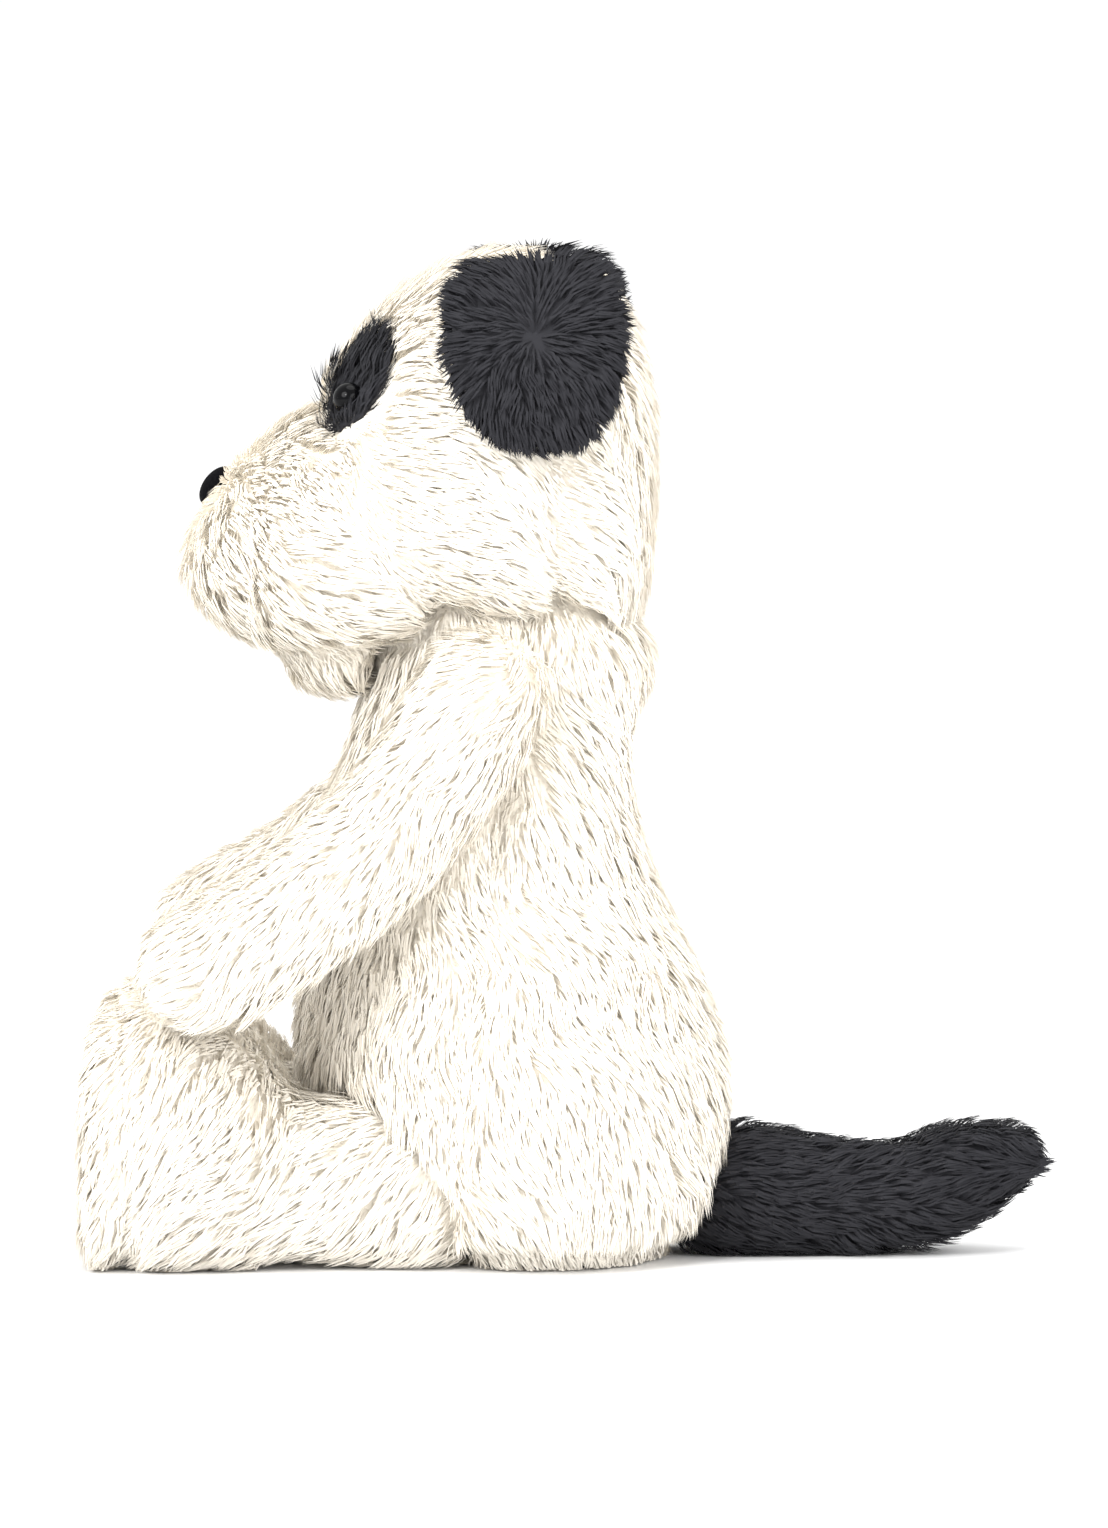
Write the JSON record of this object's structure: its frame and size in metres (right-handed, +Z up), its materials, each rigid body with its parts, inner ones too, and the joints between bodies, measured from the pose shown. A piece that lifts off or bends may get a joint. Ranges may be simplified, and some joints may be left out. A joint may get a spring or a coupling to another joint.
{
  "type": "plush puppy",
  "caption": "Seated plush puppy with a round muzzle, floppy ears, soft swinging limbs and a tail that lies on the floor.",
  "frame": {"origin": "on the floor, in the flat face of the seat between the legs", "axes": "+Z up, the toy faces -Y, and its left side is +X"},
  "size_m": [0.1392, 0.2195, 0.2309],
  "materials": {
    "cream_fur": "short soft pile",
    "black_fur": "short soft pile",
    "nose_suedette": "brushed suedette",
    "eye_plastic": "polished",
    "washer_plastic": "moulded",
    "stuffing": "loose polyester fibre",
    "pouch_cloth": "woven cotton",
    "pellet_plastic": "moulded"
  },
  "bodies": {
    "torso": {"torso_front_panel": "cream_fur", "torso_back_left_panel": "cream_fur", "torso_back_right_panel": "cream_fur", "seat_panel": "cream_fur", "torso_stuffing": "stuffing", "bean_pouch": "pouch_cloth", "bean_pellets": "pellet_plastic"},
    "head": {"head_left_panel": "cream_fur", "head_right_panel": "cream_fur", "head_back_panel": "cream_fur", "eye_patch": "black_fur", "muzzle_left_panel": "cream_fur", "muzzle_right_panel": "cream_fur", "chin_panel": "cream_fur", "head_stuffing": "stuffing", "left_eye": "eye_plastic", "right_eye": "eye_plastic", "left_eye_washer": "washer_plastic", "right_eye_washer": "washer_plastic", "nose_cover": "nose_suedette", "nose_padding": "stuffing"},
    "tail": {"tail_left_panel": "black_fur", "tail_right_panel": "black_fur", "tail_stuffing": "stuffing"},
    "left_ear": {"left_ear_outer_panel": "black_fur", "left_ear_inner_panel": "black_fur", "left_ear_filling": "stuffing"},
    "left_arm": {"left_arm_outer_panel": "cream_fur", "left_arm_inner_panel": "cream_fur", "left_arm_stuffing": "stuffing"},
    "left_leg": {"left_leg_outer_panel": "cream_fur", "left_leg_inner_panel": "cream_fur", "left_sole_panel": "cream_fur", "left_leg_stuffing": "stuffing"},
    "right_ear": {"right_ear_outer_panel": "black_fur", "right_ear_inner_panel": "black_fur", "right_ear_filling": "stuffing"},
    "right_arm": {"right_arm_outer_panel": "cream_fur", "right_arm_inner_panel": "cream_fur", "right_arm_stuffing": "stuffing"},
    "right_leg": {"right_leg_outer_panel": "cream_fur", "right_leg_inner_panel": "cream_fur", "right_sole_panel": "cream_fur", "right_leg_stuffing": "stuffing"}
  },
  "joints": [
    {"name": "head_nod", "type": "hinge", "parent": "torso", "child": "head", "pos_m": [0, -0.004, 0.137], "axis": [-1, 0, 0], "range_deg": [0, 15]},
    {"name": "tail_wag", "type": "hinge", "parent": "torso", "child": "tail", "pos_m": [0, 0.045, 0.0148], "axis": [0, 0, 1], "range_deg": [-20, 20], "stiffness_Nm_per_rad": 0.02},
    {"name": "left_arm_swing", "type": "hinge", "parent": "torso", "child": "left_arm", "pos_m": [0.0365, -0.007, 0.133], "axis": [0, -0.7021, 0.7121], "range_deg": [0, 75]},
    {"name": "left_leg_drop", "type": "hinge", "parent": "torso", "child": "left_leg", "pos_m": [0.025, -0.022, 0.0198], "axis": [1, 0, 0], "range_deg": [0, 40]},
    {"name": "left_ear_lift", "type": "hinge", "parent": "head", "child": "left_ear", "pos_m": [0.03041, 0.004, 0.22643], "axis": [0, -1, 0], "range_deg": [0, 80]},
    {"name": "right_arm_swing", "type": "hinge", "parent": "torso", "child": "right_arm", "pos_m": [-0.0365, -0.007, 0.133], "axis": [0, 0.7021, -0.7121], "range_deg": [0, 75]},
    {"name": "right_leg_drop", "type": "hinge", "parent": "torso", "child": "right_leg", "pos_m": [-0.025, -0.022, 0.0198], "axis": [1, 0, 0], "range_deg": [0, 40]},
    {"name": "right_ear_lift", "type": "hinge", "parent": "head", "child": "right_ear", "pos_m": [-0.03041, 0.004, 0.22643], "axis": [0, 1, 0], "range_deg": [0, 80]}
  ]
}
